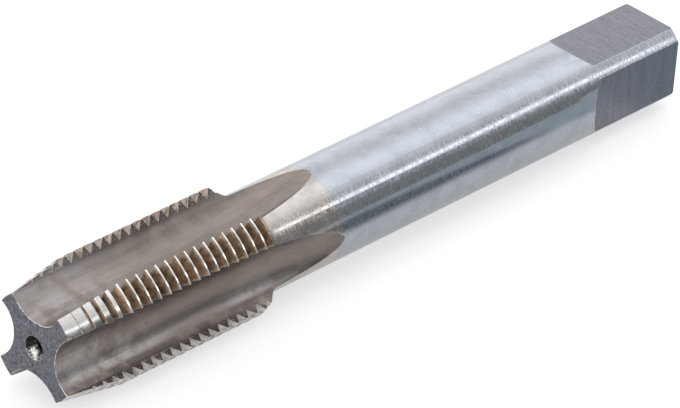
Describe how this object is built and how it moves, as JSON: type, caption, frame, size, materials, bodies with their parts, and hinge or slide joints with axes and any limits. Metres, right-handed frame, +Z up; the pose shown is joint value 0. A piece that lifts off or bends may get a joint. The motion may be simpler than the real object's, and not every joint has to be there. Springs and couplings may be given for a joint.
{
  "type": "thread tap",
  "caption": "Straight-flute hand tap with a tapered lead, ground thread, plain round shank and driving square.",
  "frame": {"origin": "on the tool's axis, in the middle of the plain round shank", "axes": "+X along the tool's axis from the tip to the driving square; +Z up, with two lands pointing down and two up"},
  "size_m": [0.102, 0.0138, 0.0139],
  "materials": {
    "tool_steel": "ground high-speed steel, brighter on the shank and darker in the flutes and on the flats"
  },
  "bodies": {
    "root": {"thread_tap": "tool_steel"}
  },
  "joints": []
}
